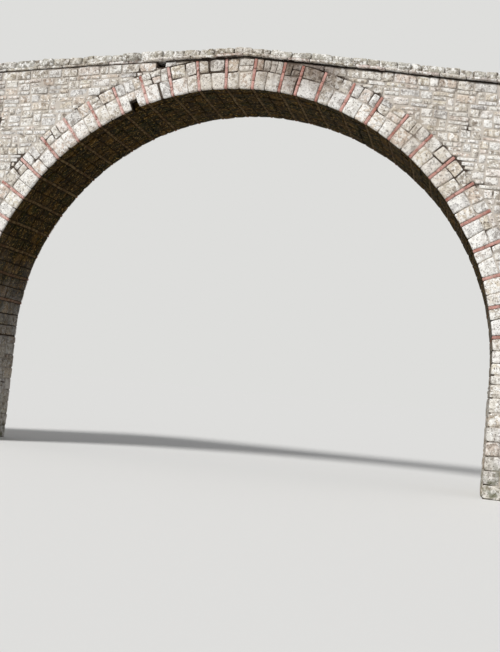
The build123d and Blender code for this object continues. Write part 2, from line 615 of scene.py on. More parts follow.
def hewn_stones(looks, cells, surface, shell, rng, dressing, limit=None):
    """Stones that fill cells of a surface: points [stone, point, XYZ], quads and tones.

    A cube's surface is rounded by dividing each point by its own p-norm: the p-th
    root of the sum of its coordinates' powers to the p. It is scaled to the cell's
    size less the joint, its front bulges by (1 - u^2)(1 - v^2), random planes chip
    it, and it is carried into its cell by three-way linear interpolation. Random
    fields then make the whole wall wander and each stone rough.
    """
    unit, quads = shell
    count = len(cells)
    power = rng.uniform(*dressing.power, (count, 1, 1))
    norm = (np.abs(unit) ** power).sum(-1, keepdims=True) ** (1 / power)
    corners = np.stack(surface(*np.moveaxis(cells, -1, 0)), -1)
    size = np.stack([np.linalg.norm(np.diff(corners, axis=axis), axis=-1).mean((1, 2, 3))
                     for axis in (1, 2, 3)], -1)
    gap = dressing.joint * rng.uniform(looks.joint_min, looks.joint_max, (count, 3)) / 2
    gap[:, 2] = 0
    half = np.maximum(size / 2 - gap, 0.2 * size)
    points = unit / norm * half[:, None]
    bulge = dressing.bulge * rng.uniform(0.3, 1.5, (count, 1))
    points[..., 2] += bulge * (1 - unit[:, 0] ** 2) * (1 - unit[:, 1] ** 2) * (unit[:, 2] > 0)
    points = chipped(points, half, rng, np.minimum(dressing.chip, size[:, :2].min(1) * CHIP_SHARE))
    share = 2 * points / size[:, None]
    share = np.stack(((1 - share) / 2, (1 + share) / 2), -1)
    placed = np.einsum("nva,nvb,nvc,nabck->nvk", share[:, :, 0], share[:, :, 1], share[:, :, 2],
                       cells, optimize=True)
    if limit:
        placed = limit(placed)
    world = rough(np.stack(surface(*np.moveaxis(placed, -1, 0)), -1), *WANDER, looks.wander)
    world = rough(world, *GRAIN, dressing.grain)
    world = rough(world, *FINE_GRAIN, 0.6 * dressing.grain)
    world[..., 2] = np.maximum(world[..., 2], 0)
    return world, quads, rng.random((count, 1))


def mortar_sheet(looks, surface, along, up, loss=0.0, hollow=None):
    """Lumpy mortar over a grid of wall places [row, column], as points, quads and tones.

    Its height over the wall is a level plus random fields of three sizes, less a
    loss. Its rim, also round a place that is hollow, dips into the wall, and it
    wanders with the stones. The tone is 0 where it is washed out and 1 where flush.
    """
    base = np.stack(surface(along, up, 0 * along), -1)
    height = sum(depth * cloud(base, size, seed) for depth, size, seed in LUMPS)
    tone = np.clip(0.5 + 0.62 * height - loss, 0, 1)
    out = looks.flush * (0.15 + 1.25 * tone)
    index = np.arange(along.size).reshape(along.shape)
    quads = np.stack((index[:-1, :-1], index[:-1, 1:], index[1:, 1:], index[1:, :-1]), -1).reshape(-1, 4)
    rim = np.ones(along.shape, bool)
    rim[1:-1, 1:-1] = False
    if hollow:
        gone = hollow(along, up).ravel()[quads].any(1)
        rim.ravel()[quads[gone]] = True
        quads = quads[~gone]
    out[rim] = -RIM_DEPTH
    world = rough(np.stack(surface(along, up, out), -1).reshape(1, -1, 3), *WANDER, looks.wander)
    world[..., 2] = np.maximum(world[..., 2], 0)
    return world, quads, tone.reshape(1, -1)


def lay_piece(name, batches, material, replaced=()):
    """Joins batches of stones or mortar into one named piece that rides on the bridge.

    A batch has points [stone, point, XYZ], the quads of one stone, and tones for the
    stones or for their points.
    """
    faces = []
    offset = 0
    for world, quads, _ in batches:
        count, per_stone = world.shape[:2]
        starts = offset + per_stone * np.arange(count)[:, None, None]
        faces.append((quads + starts).reshape(-1, 4))
        offset += count * per_stone
    vertices = np.concatenate([world.reshape(-1, 3) for world, _, _ in batches])
    tones = np.concatenate([np.broadcast_to(tone, world.shape[:2]).ravel() for world, _, tone in batches])
    mesh = bpy.data.meshes.new(name)
    mesh.from_pydata(vertices, [], np.concatenate(faces), shade_flat=False)
    mesh.attributes.new("tone", "FLOAT", "POINT").data.foreach_set("value", tones)
    mesh.materials.append(material)
    piece = bpy.data.objects.new(name, mesh)
    bpy.context.scene.collection.objects.link(piece)
    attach(piece, "root")
    if replaced:
        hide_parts(*replaced)


# Materials
def srgb(red, green, blue):
    """Linear colour of an 8-bit screen colour."""
    share = np.array((red, green, blue)) / 255
    linear = np.where(share <= 0.04045, share / 12.92, ((share + 0.055) / 1.055) ** 2.4)
    return (*linear, 1.0)


def add_node(tree, kind, links=(), **settings):
    """A node with settings and with its inputs linked or set by name or number."""
    made = tree.nodes.new(kind)
    for key, value in settings.items():
        setattr(made, key, value)
    for key, value in dict(links).items():
        if isinstance(value, bpy.types.NodeSocket):
            tree.links.new(value, made.inputs[key])
        else:
            made.inputs[key].default_value = value
    return made


class Recipe:
    """Node tree of one material, with short calls for its nodes and the colour so far."""

    def __init__(self, name):
        self.material = bpy.data.materials.new(name)
        self.material.use_nodes = True
        self.colour = None
        self.place = self.node("ShaderNodeTexCoord").outputs["Object"]
        self.x, self.y, self.z = self.node("ShaderNodeSeparateXYZ", {"Vector": self.place}).outputs
        self.tone = self.node("ShaderNodeAttribute", attribute_name="tone").outputs["Fac"]
        shift = self.node("ShaderNodeCombineXYZ", {
            axis: self.math("MULTIPLY", self.tone, reach) for axis, reach in zip("XYZ", (37.0, 91.0, 53.0))})
        links = {0: self.place, 1: shift.outputs[0]}
        self.own = self.node("ShaderNodeVectorMath", links, operation="ADD").outputs[0]

    def node(self, kind, links=(), **settings):
        """A node of this material."""
        return add_node(self.material.node_tree, kind, links, **settings)

    def noise(self, scale, detail=4.0, roughness=0.55, place=None):
        """Cloudy value between 0 and 1 with features about 1/scale metres across."""
        links = {"Vector": place or self.own, "Scale": scale, "Detail": detail, "Roughness": roughness}
        return self.node("ShaderNodeTexNoise", links).outputs["Fac"]

    def ramp(self, value, low, high, bottom=0.0, top=1.0):
        """Value carried smoothly from low..high to bottom..top."""
        links = {"Value": value, "From Min": low, "From Max": high, "To Min": bottom, "To Max": top}
        return self.node("ShaderNodeMapRange", links, interpolation_type="SMOOTHSTEP").outputs["Result"]

    def math(self, operation, first, *others):
        """Result of one operation, taken from left to right over all its values."""
        for other in others or (0.0,):
            first = self.node("ShaderNodeMath", {0: first, 1: other}, operation=operation).outputs[0]
        return first

    def mix(self, share, first, second, blend="MIX", label=""):
        """Colour between two colours."""
        links = {0: share, 6: first, 7: second}
        return self.node("ShaderNodeMix", links, data_type="RGBA", blend_type=blend, label=label).outputs[2]

    def palette(self, *colours):
        """Colour picked by the tone off evenly spaced stops."""
        made = self.node("ShaderNodeValToRGB", {"Fac": self.tone})
        stops = made.color_ramp.elements
        while len(stops) < len(colours):
            stops.new(0.5)
        for number, colour in enumerate(colours):
            stops[number].position = number / (len(colours) - 1)
            stops[number].color = colour
        return made.outputs["Color"]

    def lay(self, label, over, share, blend="MIX"):
        """Lays another colour over the colour so far, by a share."""
        self.colour = self.mix(share, self.colour, over, blend, label)

    def layer(self, label, over, noise, span, shares=(0.0, 1.0), blend="MIX"):
        """Lays another colour over the colour so far in cloudy patches.

        Noise gives the patches' scale, detail and roughness. Where it is under its
        span the first of the shares shows, and where it is over it the second.
        """
        self.lay(label, over, self.ramp(self.noise(*noise), *span, *shares), blend)

    def finish(self, relief, depth, roughness):
        """Links the colour, the bump of a relief in metres and the roughness."""
        bump = self.node("ShaderNodeBump", {"Height": relief, "Distance": depth, "Strength": 1.0})
        tree = self.material.node_tree
        inputs = tree.nodes["Principled BSDF"].inputs
        tree.links.new(self.colour, inputs["Base Color"])
        tree.links.new(bump.outputs["Normal"], inputs["Normal"])
        inputs["Roughness"].default_value = roughness
        inputs["Specular IOR Level"].default_value = 0.08
        return self.material


def damp_and_shade_share(recipe):
    """Share of damp and painted shade: 1 on the underside of the vault and in deep recesses of the faces just
    over it, 0 on the outer faces, fading down the abutments.
    """
    aside = recipe.math("ABSOLUTE", recipe.y)
    inside = recipe.ramp(aside, HALF_WIDTH - 0.05, HALF_WIDTH + 0.012, 1.0, 0.0)
    rise = recipe.math("MAXIMUM", recipe.math("SUBTRACT", recipe.z, SPRINGING), 0.0)
    radius = recipe.math("SQRT", recipe.math("ADD", recipe.math("MULTIPLY", rise, rise),
                                             recipe.math("MULTIPLY", recipe.x, recipe.x)))
    # Painted shade in recesses: more than 0.2 m behind a face the dark reaches 0.3 m further over the vault,
    # into the broken voussoir's hole
    deep = recipe.ramp(aside, HALF_WIDTH - 0.2, HALF_WIDTH - 0.06, 0.3, 0.0)
    between = recipe.ramp(recipe.math("SUBTRACT", radius, deep), ARCH_RADIUS + 0.01, ARCH_RADIUS + 0.06,
                          1.0, 0.0)
    cloudy = recipe.math("MULTIPLY", recipe.noise(1.3, 5.0, 0.6, recipe.place), 2.4)
    fade = recipe.ramp(recipe.math("ADD", recipe.z, cloudy), 0.8, SPRINGING + 3.6, 0.25, 1.0)
    return recipe.math("MULTIPLY", inside, between, fade)


def weather(recipe, moss):
    """Lays broad stains, rain streaks, painted shade with soot in a band under the string, a darker streaked
    patch right of the crown under the walls' top, and growth at the foot.
    """
    recipe.layer("broad stains", srgb(206, 194, 178), (0.55, 5.0, 0.6, recipe.place), (0.45, 0.66),
                 (0.0, 0.5), "MULTIPLY")
    stretched = recipe.node("ShaderNodeMapping", {"Vector": recipe.place, "Scale": (1.0, 1.0, 0.14)})
    runs = recipe.noise(3.2, 5.0, 0.6, stretched.outputs["Vector"])
    recipe.lay("rain streaks", srgb(172, 160, 148), recipe.ramp(runs, 0.54, 0.74, 0.0, 0.5), "MULTIPLY")
    slope = recipe.math("MULTIPLY", recipe.math("ABSOLUTE", recipe.x), ROAD_SLOPE)
    drop = recipe.math("SUBTRACT", CROWN_LEVEL, slope, recipe.z)
    under = recipe.ramp(drop, -0.004, 0.0)
    # Painted shade with soot: a dark band just under the walls' top, where the string's shadow falls, weaker
    # left of the worn string
    recipe.lay("soot", srgb(54, 45, 38), recipe.math(
        "MULTIPLY", under, recipe.ramp(drop, 0.02, 0.075, 0.95, 0.0),
        recipe.ramp(recipe.x, WORN_STRING - 0.3, WORN_STRING, 0.3, 1.0)))
    # A darker streaked patch under the walls' top, around 1.3 m right of the crown, fading downwards
    away = recipe.math("ABSOLUTE", recipe.math("SUBTRACT", recipe.x, 1.3))
    recipe.lay("dirt", srgb(158, 148, 142), recipe.math(
        "MULTIPLY", under, recipe.ramp(away, 0.6, 1.3, 1.0, 0.12),
        recipe.ramp(drop, 0.1, 1.1, 1.0, 0.0), recipe.ramp(runs, 0.28, 0.56)), "MULTIPLY")
    low = recipe.math("SUBTRACT", recipe.z, recipe.noise(1.6, 5.0, 0.6, recipe.place))
    patches = recipe.ramp(recipe.noise(5.0, 6.0, 0.65, recipe.place), 0.4, 0.6)
    recipe.lay("growth", moss, recipe.math("MULTIPLY", recipe.ramp(low, -0.6, 0.7, 0.8, 0.0), patches))


def stone_finish(name, looks, colours, lichen=0.35, mottling=0.7, lime=0.0):
    """Rough pale stone: a tone for each stone, mottling, bloom, pits, lichen, and damp growth with painted
    shade under the vault.

    Lime makes the share of the face that the pale bloom covers larger.
    """
    recipe = Recipe(name)
    recipe.colour = recipe.palette(*colours)
    recipe.layer("mottling", srgb(150, 140, 132), (8.0, 9.0, 0.68), (0.47, 0.6), (0.0, mottling), "MULTIPLY")
    recipe.layer("bloom", srgb(255, 253, 248), (11.0, 8.0, 0.68), (0.48 - lime, 0.6 - lime), (0.0, 0.9))
    recipe.layer("speckle", srgb(98, 86, 80), (27.0, 7.0, 0.72), (0.37, 0.47), (0.85, 0.0))
    recipe.layer("lichen", srgb(176, 160, 104), (21.0, 6.0, 0.7), (0.62, 0.67), (0.0, lichen))
    weather(recipe, srgb(88, 90, 56))
    dry = recipe.colour
    # Dark colour under the vault: damp and growth, with the vault's shade painted in
    paler = recipe.ramp(recipe.tone, 0.35, 1.0, 0.0, 0.7)
    recipe.colour = recipe.mix(paler, tuple(looks.damp_and_shade_colour), srgb(84, 60, 20))
    recipe.layer("damp growth", srgb(32, 32, 6), (2.6, 7.0, 0.6, recipe.place), (0.44, 0.6), (0.0, 0.9))
    recipe.layer("soaked", srgb(14, 9, 2), (6.0, 8.0, 0.62), (0.42, 0.62), (0.0, 0.9))
    recipe.layer("crust", srgb(146, 118, 66), (18.0, 7.0, 0.62), (0.52, 0.72), (0.0, 0.95))
    recipe.colour = recipe.mix(damp_and_shade_share(recipe), dry, recipe.colour)
    spots = recipe.node("ShaderNodeTexVoronoi", {"Vector": recipe.own, "Scale": 34.0}).outputs["Distance"]
    pits = recipe.math("MULTIPLY", recipe.ramp(spots, 0.0, 0.35), 0.3)
    return recipe.finish(recipe.math("ADD", recipe.noise(19.0, 9.0, 0.68), pits), 0.03, 0.92)


def brick_finish(name, looks):
    """Old thin bricks: a red for each brick, lime bloom that is painted thicker on the left as if lit, dirt
    and dark soot, and damp with painted shade under the vault.
    """
    recipe = Recipe(name)
    recipe.colour = recipe.palette(srgb(148, 94, 80), tuple(looks.brick_colour), srgb(198, 148, 137),
                                   srgb(160, 105, 92), srgb(214, 172, 162))
    # Painted light: the bloom lies thickest on the left, so the bricks there are paler as if lit and those on
    # the right darker as if shaded; the bloom patches themselves are real lime
    painted_light_left = recipe.ramp(recipe.x, -1.0, 0.1, 0.95, 0.35)
    bloom = recipe.ramp(recipe.noise(12.0, 8.0, 0.72), 0.4, 0.6)
    recipe.lay("bloom", srgb(230, 200, 192), recipe.math("MULTIPLY", bloom, painted_light_left))
    recipe.layer("dirt", srgb(146, 112, 98), (6.0, 6.0, 0.65), (0.5, 0.64), (0.0, 0.5))
    recipe.layer("soot", srgb(104, 62, 54), (32.0, 5.0, 0.72), (0.36, 0.45), (0.8, 0.0))
    damp = recipe.mix(recipe.ramp(recipe.noise(8.0), 0.4, 0.65), srgb(62, 44, 22), srgb(96, 80, 52))
    # Dark under the vault: damp, with the vault's shade painted in
    recipe.lay("damp", damp, damp_and_shade_share(recipe))
    return recipe.finish(recipe.noise(26.0, 8.0, 0.7), 0.014, 0.9)


def mortar_finish(name, looks):
    """Crumbling lime mortar: pale where it is flush and dark where rain washed it out, and dark under the
    vault from damp and painted shade.
    """
    recipe = Recipe(name)
    grain = recipe.math("MULTIPLY", recipe.noise(22.0, 6.0, 0.7, recipe.place), 0.5)
    full = recipe.ramp(recipe.math("ADD", recipe.tone, grain), 0.42, 0.85)
    recipe.colour = recipe.mix(full, srgb(60, 48, 40), tuple(looks.mortar_colour))
    recipe.layer("grit", srgb(214, 202, 186), (70.0, 3.0, 0.7, recipe.place), (0.42, 0.7), (0.0, 0.3))
    weather(recipe, srgb(70, 72, 42))
    # Dark under the vault: damp, with the vault's shade painted in
    recipe.lay("damp", srgb(36, 26, 9), damp_and_shade_share(recipe))
    return recipe.finish(recipe.noise(38.0, 8.0, 0.72, recipe.place), 0.025, 0.97)


def road_bed_finish():
    """Trodden earth and fine moss between the road stones."""
    recipe = Recipe("road_bed")
    recipe.colour = srgb(112, 98, 78)
    recipe.layer("moss", srgb(86, 88, 50), (3.0, 7.0, 0.6), (0.4, 0.6))
    recipe.layer("grit", srgb(150, 138, 118), (90.0, 4.0, 0.7), (0.45, 0.6), (0.0, 0.6))
    return recipe.finish(recipe.noise(40.0, 8.0, 0.7), 0.015, 0.98)


# Values that the panel shows
def length(**given):
    """Property that holds a length."""
    return bpy.props.FloatProperty(min=0.0, subtype="DISTANCE", unit="LENGTH", **given)


def tint(**given):
    """Property that holds a colour."""
    return bpy.props.FloatVectorProperty(size=4, subtype="COLOR", **given)


class BridgeLooks(bpy.types.PropertyGroup):
    """Sizes and colours that change how the masonry looks."""

    seed: bpy.props.IntProperty(name="Seed", description="Start of every random draw", default=7)
    joint_min: length(name="Narrow Joint", description="Narrowest joint between stones", default=0.008)
    joint_max: length(name="Wide Joint", description="Widest joint between stones", default=0.024)
    relief: length(name="Relief", description="How far the stones stand proud of the wall", default=0.026)
    flush: length(
        name="Mortar Height", description="How far sound mortar stands out between the stones", default=0.009)
    wander: length(name="Wander", description="How far the joints stray from their lines", default=0.011)
    stone_colour: tint(name="Stone", description="Middle colour of the stones", default=srgb(231, 224, 212))
    brick_colour: tint(name="Brick", description="Middle colour of the bricks", default=srgb(178, 122, 109))
    mortar_colour: tint(name="Mortar", description="Colour of sound mortar", default=srgb(204, 196, 186))
    # This colour paints the shade under the vault as well as its damp
    damp_and_shade_colour: tint(
        name="Damp", description="Colour of the stones under the vault", default=srgb(52, 36, 8))
    key_strength: bpy.props.FloatProperty(
        name="Key Light", description="Strength of the soft key light", default=2.9, min=0.0)
    sky_strength: bpy.props.FloatProperty(
        name="Fill Light", description="Strength of the even light from all round", default=0.36, min=0.0)


# Pieces
def stone_colours(looks):
    """Tones of the wall stones, around their middle colour."""
    return (srgb(200, 191, 177), tuple(looks.stone_colour), srgb(240, 236, 227), srgb(214, 211, 207),
            srgb(247, 244, 238), srgb(223, 206, 192), srgb(229, 221, 203))


def draws(looks, number):
    """Random draws of one piece, apart from those of the others."""
    return np.random.default_rng(1000 * looks.seed + number)


def stands(looks, rng, joints, shares):
    """How far each stone between joints stands proud: a random share of the relief."""
    return looks.relief * rng.uniform(*shares, len(joints) - 1)


SIDES = ("left", "right")
FACES = (("front", lambda surface: surface), ("rear", turned))
WALL_SHELLS = {"front": FINE_FACE, "rear": FACE}


def sided(cells, wall, side):
    """Cells of the right half as seen from the front, put on the half that is asked for."""
    return cells[:, ::-1] * (-1, 1, 1) if (side == "left") == (wall == "front") else cells


def spandrel_cells(looks, rng, lengths, wall, side):
    """Cells of the rubble beyond the ring's back and of the course of long stones on it."""
    cells = rubble(
        rng, (0.0, HALF_LENGTH), (LOWER_ROWS, ALL_ROWS), lengths[:, :1] * (0, 1), bed,
        0.85 * looks.relief, SPANDREL_SQUARES, SPANDREL_HEIGHTS,
        lambda along, up: polar(along, up)[1] < OUTER_RADIUS + RING_ROOM)
    joints = spaced(rng, LONG_START, HALF_LENGTH - CORNER_LENGTH, *LONG_STONES)
    damaged = wall == "front" and side == "left"
    if damaged:
        seen = (*LOST_STONE, *SEEN_COURSE_JOINTS)
        clear = (joints < seen[0] - SEEN_MARGINS[0]) | (joints > seen[-1] + SEEN_MARGINS[1])
        joints = np.sort(np.concatenate((joints[clear], seen)))
    head = skewed(rng, joints)
    top = course_cells(joints, head, road_level(joints) - TOP_COURSE, road_level(head) - STRING_ROOM,
                       STONE_BACK, stands(looks, rng, joints, LONG_STAND))
    return np.concatenate((cells, without(top, *LOST_STONE) if damaged else top))


def spandrel_corners(looks, rng, lengths):
    """Cells of the corner stones of one half, with a long one in the top course."""
    cells = corner_stones(rng, lengths, (LOWER_ROWS, ALL_ROWS), HALF_LENGTH, -1, looks.relief)
    ends = np.array((HALF_LENGTH - CORNER_LENGTH, HALF_LENGTH + looks.relief))
    level = road_level(ends)
    top = course_cells(ends, ends, level - TOP_COURSE, level - STRING_ROOM, CORNER_BACK, looks.relief)
    return np.concatenate((cells, top))


class BRIDGE_OT_lay_spandrels(bpy.types.Operator):
    """Lay the rubble of the spandrel walls and the long stones over it on both faces."""
    bl_idname = "bridge.lay_spandrels"
    bl_label = "Spandrel Stones"

    def execute(self, context):
        looks = context.scene.bridge_looks
        material = stone_finish("rubble_stone", looks, stone_colours(looks))
        for number, (wall, facing) in enumerate(FACES):
            for half, side in enumerate(SIDES):
                rng = draws(looks, SPANDREL_DRAWS + 2 * number + half)
                lengths = corner_lengths(looks, half)
                walls = sided(spandrel_cells(looks, rng, lengths, wall, side), wall, side)
                corners = sided(spandrel_corners(looks, rng, lengths), wall, side)
                lay_piece(f"spandrel_stones_{wall}_{side}", [
                    hewn_stones(looks, walls, facing(on_front), WALL_SHELLS[wall], rng, RUBBLE, over_ring),
                    hewn_stones(looks, corners, facing(on_front), BLOCK, rng, SQUARED),
                ], material)
        return {"FINISHED"}


def cross_wall_cells(looks, rng, lengths, rows):
    """Cells of a wall across the bridge, between its two rows of corner stones."""
    cells = rubble(rng, (-HALF_WIDTH, HALF_WIDTH), rows, lengths[:, 1:] * (1, 1), end_bed,
                   looks.relief, END_SQUARES)
    if rows[1] < ALL_ROWS:
        return cells
    joints = spaced(rng, CORNER_BACK - HALF_WIDTH, HALF_WIDTH - CORNER_BACK, *END_STONES)
    level = road_level(HALF_LENGTH)
    top = course_cells(joints, joints, level - TOP_COURSE, level, STONE_BACK,
                       stands(looks, rng, joints, END_STAND))
    joints = spaced(rng, SILL_ROOM - COPING_BACK, COPING_BACK - SILL_ROOM, *SILL_STONES)
    sill = course_cells(joints, joints, level, level + DECK_TOP + 0.004, STONE_BACK,
                        stands(looks, rng, joints, SILL_STAND))
    return np.concatenate((cells, top, sill))


class BRIDGE_OT_lay_abutments(bpy.types.Operator):
    """Lay the larger stones of the abutments and of the end walls over them."""
    bl_idname = "bridge.lay_abutments"
    bl_label = "Abutment Stones"

    def execute(self, context):
        looks = context.scene.bridge_looks
        material = stone_finish("abutment_stone", looks, stone_colours(looks))
        lower = (0, LOWER_ROWS)
        for half, side in enumerate(SIDES):
            rng = draws(looks, ABUTMENT_DRAWS + half)
            lengths = corner_lengths(looks, half)
            batches = []
            for wall, facing in FACES:
                cells = rubble(rng, (ARCH_RADIUS, HALF_LENGTH), lower, lengths[:, :1] * (1, 1), bed,
                               looks.relief, ABUTMENT_SQUARES)
                corners = np.concatenate([
                    corner_stones(rng, lengths, lower, at, inward, looks.relief)
                    for at, inward in ((HALF_LENGTH, -1), (ARCH_RADIUS, 1))])
                for part, shell, dressing in ((cells, WALL_SHELLS[wall], RUBBLE), (corners, BLOCK, SQUARED)):
                    batches.append(hewn_stones(looks, sided(part, wall, side), facing(on_front), shell,
                                               rng, dressing))
            end = on_end if side == "right" else turned(on_end)
            river = on_river_face if side == "left" else turned(on_river_face)
            for surface, rows in ((end, (0, ALL_ROWS)), (river, lower)):
                cells = cross_wall_cells(looks, rng, lengths, rows)
                batches.append(hewn_stones(looks, cells, surface, PLAIN_FACE, rng, RUBBLE))
            lay_piece(f"abutment_stones_{side}", batches, material)
        return {"FINISHED"}


def vault_columns(rng):
    """Angles of the voussoirs' bed joints on the intrados, one array for each bay."""
    half = asin(HALF_BRICK / ARCH_RADIUS)
    edges = np.concatenate(([-pi / 2 - half], COURSES, [pi / 2 + half]))
    columns = []
    for start, end in zip(edges[:-1] + half, edges[1:] - half):
        seen = SEEN_JOINTS[(SEEN_JOINTS > start) & (SEEN_JOINTS < end)]
        if start < BROKEN_ANGLE < end:
            seen = BROKEN_ANGLE + np.array((-1, 1)) * (BROKEN_HALF_WIDTH / ARCH_RADIUS)
        if len(seen):
            columns.append(np.array((start, *seen, end)))
            continue
        count = max(1, round((end - start) * ARCH_RADIUS / VOUSSOIR_WIDTH))
        joints = np.linspace(start, end, count + 1)
        joints[1:-1] += rng.uniform(-VOUSSOIR_STRAY, VOUSSOIR_STRAY, count - 1) * (end - start) / count
        columns.append(joints)
    return columns


def head_angles(foot, low, high, lean):
    """Angles of bed joints at a higher radius: the outer two stay beside their bricks."""
    head = foot + lean
    shift = asin(HALF_BRICK / low) - asin(HALF_BRICK / high)
    head[0] = foot[0] - shift
    head[-1] = foot[-1] + shift
    return head


def tier_joint(angle, phase):
    """Radius of the joint between the two tiers, which waves along the ring."""
    return MID_RADIUS + 0.02 * np.sin(9 * angle + phase) + 0.014 * np.sin(31 * angle + 2 * phase)


def voussoir_cells(looks, rng, bay, phase):
    """Wedge blocks of the lower tier in one bay, which turn the edge of the vault."""
    head = head_angles(bay, ARCH_RADIUS, MID_RADIUS, rng.normal(0, RING_LEAN, len(bay)))
    cells = course_cells(bay, head, ARCH_RADIUS - STONE_HANG * looks.relief, tier_joint(head, phase), 0.0,
                         stands(looks, rng, bay, VOUSSOIR_STAND))
    cells[:, :, :, 0, 2] = -rng.uniform(*VOUSSOIR_BACKS, (len(cells), 1, 1))
    for joint in WASHED_JOINTS:
        place = np.argmin(np.abs(bay - joint))
        if phase == 0 and abs(bay[place] - joint) < SAME_ANGLE:
            cells[:place, 1, :, :, 0][-1:] -= WASHED_GAP / ARCH_RADIUS
            cells[place:, 0, :, :, 0][:1] += WASHED_GAP / ARCH_RADIUS
    return cells


def upper_cells(looks, rng, bay, phase):
    """Smaller stones of the upper tier in one bay: as seen in the front, otherwise at random.

    The random joints are drawn for every bay, so that one that is seen changes no other.
    """
    start, end = head_angles(bay, ARCH_RADIUS, MID_RADIUS, 0.0)[[0, -1]]
    count = max(1, round((end - start) * MID_RADIUS / rng.uniform(*UPPER_STONES)))
    shares = np.linspace(0, 1, count + 1)
    shares[1:-1] += rng.uniform(-UPPER_STRAY, UPPER_STRAY, count - 1) / count
    seen = [(0, *joints, 1) for angle, joints in SEEN_UPPER_JOINTS.items()
            if phase == 0 and start < radians(angle) < end]
    foot = start + (end - start) * np.array(seen[0] if seen else shares)
    head = head_angles(foot, MID_RADIUS, OUTER_RADIUS, rng.normal(0, RING_LEAN, len(foot)))
    cells = course_cells(foot, head, tier_joint(foot, phase), OUTER_RADIUS, STONE_BACK,
                         stands(looks, rng, foot, UPPER_STAND))
    if phase == 0 and start < LOOSE_BAY < end:
        cells[-1, 0, :, :, 0] += LOOSE_GAP / MID_RADIUS
        cells[-1, 1, :, :, 0] -= LOOSE_GAP / MID_RADIUS / 2
        cells[-1, :, 0, :, 1] += LOOSE_GAP
    return cells if seen else split_level(cells, rng, chance=0.3, tallest=0.2)


def with_broken_stone(cells, reach):
    """Cells with only the top of the broken voussoir and its stump behind it.

    Reach is how far the voussoirs go into the vault, and is set for the stump.
    """
    place = np.argmin(np.abs(cells[..., 0].mean((1, 2, 3)) - BROKEN_ANGLE))
    stump = cells[place:place + 1].copy()
    stump[:, :, 1, :, 1] = ARCH_RADIUS + BROKEN_HEIGHT + STUMP_RISE
    stump[:, :, :, 0, 2] = -BROKEN_DEPTH - STUMP_DEPTH
    stump[:, :, :, 1, 2] = -BROKEN_DEPTH + STUMP_RELIEF
    cells[place, :, 0, :, 1] = ARCH_RADIUS + BROKEN_HEIGHT
    reach[place] = BROKEN_DEPTH + STUMP_DEPTH
    return np.concatenate((cells, stump))


def lay_underside(looks, columns, fronts, rears, material):
    """Stones of the underside, laid behind the voussoirs of the faces in long rows."""
    rng = draws(looks, VAULT_DRAWS + 3)
    spans = np.concatenate([pairs(bay) for bay in columns])
    rows = []
    for span, front, rear in zip(spans, fronts, rears):
        across = spaced(rng, front - HALF_WIDTH, HALF_WIDTH - rear, *UNDERSIDE_STONES)
        proud = 0.8 * stands(looks, rng, across, UNDERSIDE_STAND)
        rows.append(wall_cells(span[:, None], -pairs(across)[:, None, ::-1], STONE_BACK, proud))
    stones = hewn_stones(looks, np.concatenate(rows), on_soffit, PLAIN_FACE, rng, SQUARED)
    lay_piece("underside_stones", [stones], material)


class BRIDGE_OT_lay_vault(bpy.types.Operator):
    """Lay the voussoirs of both faces, the stones over them and those of the underside."""
    bl_idname = "bridge.lay_vault"
    bl_label = "Vault Stones"

    def execute(self, context):
        looks = context.scene.bridge_looks
        material = stone_finish("vault_stone", looks, stone_colours(looks), 0.25)
        cleaner = stone_finish("voussoir_stone", looks, stone_colours(looks), 0.2, 0.5, 0.05)
        columns = vault_columns(draws(looks, VAULT_DRAWS))
        depths = {}
        for phase, (wall, facing) in enumerate(FACES):
            rng = draws(looks, VAULT_DRAWS + 1 + phase)
            bays = columns if wall == "front" else [-bay[::-1] for bay in columns[::-1]]
            lower = np.concatenate([voussoir_cells(looks, rng, bay, phase) for bay in bays])
            upper = np.concatenate([upper_cells(looks, rng, bay, phase) for bay in bays])
            depths[wall] = -lower[:, 0, 0, 0, 2]
            shell = BLOCK
            if wall == "front":
                lower = with_broken_stone(lower, depths[wall])
                shell = FINE_BLOCK
            surface = facing(on_ring_face)
            lay_piece(f"voussoirs_{wall}", [hewn_stones(looks, lower, surface, shell, rng, SQUARED)],
                      cleaner)
            lay_piece(f"ring_stones_{wall}", [hewn_stones(looks, upper, surface, FINE_FACE, rng, RUBBLE)],
                      material)
        lay_underside(looks, columns, depths["front"], depths["rear"][::-1], material)
        return {"FINISHED"}


class BRIDGE_OT_lay_bricks(bpy.types.Operator):
    """Lay the thin brick courses through both faces and across the underside."""
    bl_idname = "bridge.lay_bricks"
    bl_label = "Brick Courses"

    def execute(self, context):
        looks = context.scene.bridge_looks
        material = brick_finish("old_brick", looks)
        rng = draws(looks, BRICK_DRAWS)
        half = asin(HALF_BRICK / ARCH_RADIUS)
        batches = {side: [] for side in SIDES}
        for angle in COURSES:
            batch = batches[SIDES[int(angle > 0)]]
            for wall, facing in FACES:
                beds = spaced(rng, ARCH_RADIUS - BRICK_HANG * looks.relief, OUTER_RADIUS, *FACE_BRICKS)
                span = np.arcsin(HALF_BRICK / beds)
                ends = (angle if wall == "front" else -angle) + np.stack((-span, span), -1)
                cells = wall_cells(pairs(ends), pairs(beds)[:, None], BRICK_BACK,
                                   stands(looks, rng, beds, BRICK_STAND))
                batch.append(hewn_stones(looks, cells, facing(on_ring_face), BRICK, rng, FIRED))
            across = spaced(rng, BRICK_BACK - HALF_WIDTH, HALF_WIDTH - BRICK_BACK, *UNDERSIDE_BRICKS)
            ends = np.array((angle - half, angle + half))
            cells = wall_cells(ends[:, None], pairs(across)[:, None], STONE_BACK,
                               stands(looks, rng, across, UNDERSIDE_BRICK_STAND))
            batch.append(hewn_stones(looks, cells, on_soffit, BRICK, rng, FIRED))
        for side in SIDES:
            lay_piece(f"bricks_{side}", batches[side], material)
        return {"FINISHED"}


